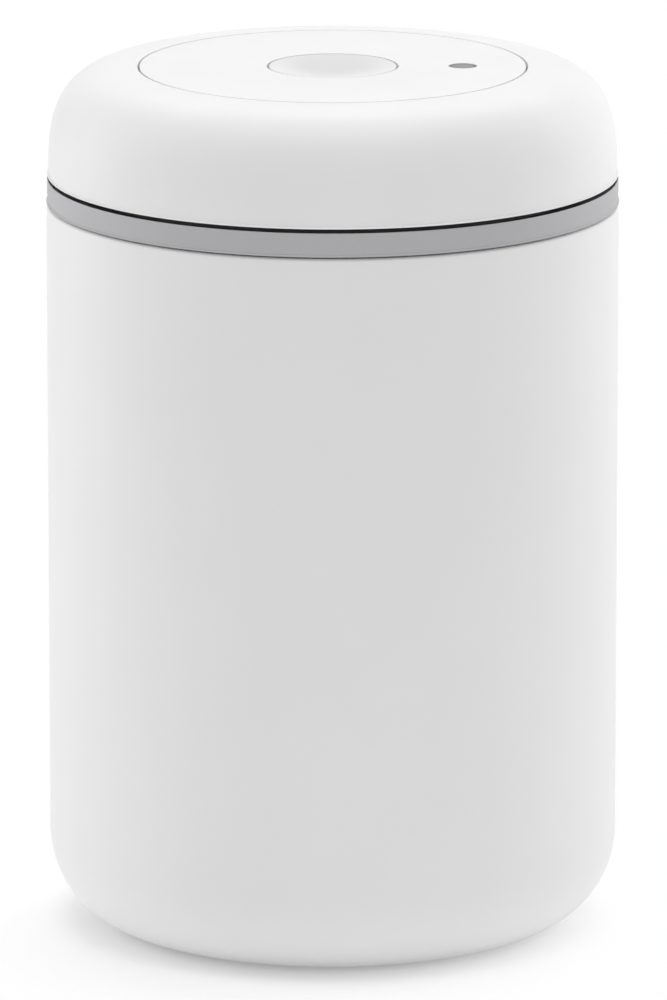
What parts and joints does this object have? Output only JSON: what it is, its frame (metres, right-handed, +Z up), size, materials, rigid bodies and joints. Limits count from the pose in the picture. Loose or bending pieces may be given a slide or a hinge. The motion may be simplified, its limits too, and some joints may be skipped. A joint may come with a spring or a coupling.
{
  "type": "vacuum food canister",
  "caption": "Round white drawn-steel food canister with a domed twist-to-pump vacuum lid, a dished release button and a small sinking vacuum indicator.",
  "frame": {"origin": "centre of the foot ring, on the surface that the can stands on", "axes": "+Z up along the can's axis, +X from the release button to the vacuum indicator, -Y towards the viewer"},
  "size_m": [0.117, 0.117, 0.1783],
  "materials": {
    "white_enamel": "satin white paint on drawn stainless steel",
    "white_plastic": "fine matte moulded white",
    "grey_band": "satin light grey",
    "grey_dot": "smooth mid grey",
    "grey_inner_plastic": "glass-filled moulding, matte",
    "silicone": "matte grey silicone",
    "acetal": "natural slippery moulding",
    "steel": "bright stainless"
  },
  "bodies": {
    "canister": {"canister_body": "white_enamel"},
    "lid": {"lid_base": "white_plastic", "trim_band": "grey_band", "lid_gasket": "silicone", "base_cover": "white_plastic", "top_plate": "white_plastic", "lid_screw_1": "steel", "lid_screw_2": "steel", "lid_screw_3": "steel", "screw_plug_1": "silicone", "screw_plug_2": "silicone", "screw_plug_3": "silicone", "intake_valve_1": "silicone", "intake_valve_2": "silicone", "intake_valve_3": "silicone", "glide_ring": "acetal", "button_spring": "steel", "indicator_spring": "steel"},
    "grip": {"grip_dome": "white_plastic", "cam_ring": "grey_inner_plastic", "cam_screw_1": "steel", "cam_screw_2": "steel", "cam_screw_3": "steel"},
    "pump": {"piston_carrier": "grey_inner_plastic", "piston_1": "acetal", "piston_2": "acetal", "piston_3": "acetal", "piston_seal_1": "silicone", "piston_seal_2": "silicone", "piston_seal_3": "silicone", "exhaust_valve_1": "silicone", "exhaust_valve_2": "silicone", "exhaust_valve_3": "silicone"},
    "button": {"release_button": "white_plastic", "valve_stem": "steel", "valve_seal": "silicone"},
    "indicator": {"indicator_pin": "grey_dot", "indicator_seal": "silicone"}
  },
  "joints": [
    {"name": "lid_lift", "type": "slide", "parent": "canister", "child": "lid", "axis": [0, 0, 1], "range_m": [0, 0.1]},
    {"name": "grip_twist", "type": "hinge", "parent": "lid", "child": "grip", "pos_m": [0, 0, 0.1574], "axis": [0, 0, 1], "range_deg": [0, 90]},
    {"name": "pump_stroke", "type": "slide", "parent": "lid", "child": "pump", "axis": [0, 0, 1], "range_m": [0, 0.009]},
    {"name": "button_press", "type": "slide", "parent": "lid", "child": "button", "axis": [0, 0, -1], "range_m": [0, 0.003], "stiffness_N_per_m": 500, "springref_m": -0.008, "deforming": ["button_spring"]},
    {"name": "indicator_drop", "type": "slide", "parent": "lid", "child": "indicator", "axis": [0, 0, -1], "range_m": [0, 0.0025], "stiffness_N_per_m": 200, "springref_m": -0.002, "deforming": ["indicator_spring"]}
  ],
  "couplings": [
    {"joint": "pump_stroke", "follows": "grip_twist", "m_per_rad": 0.0057295}
  ]
}
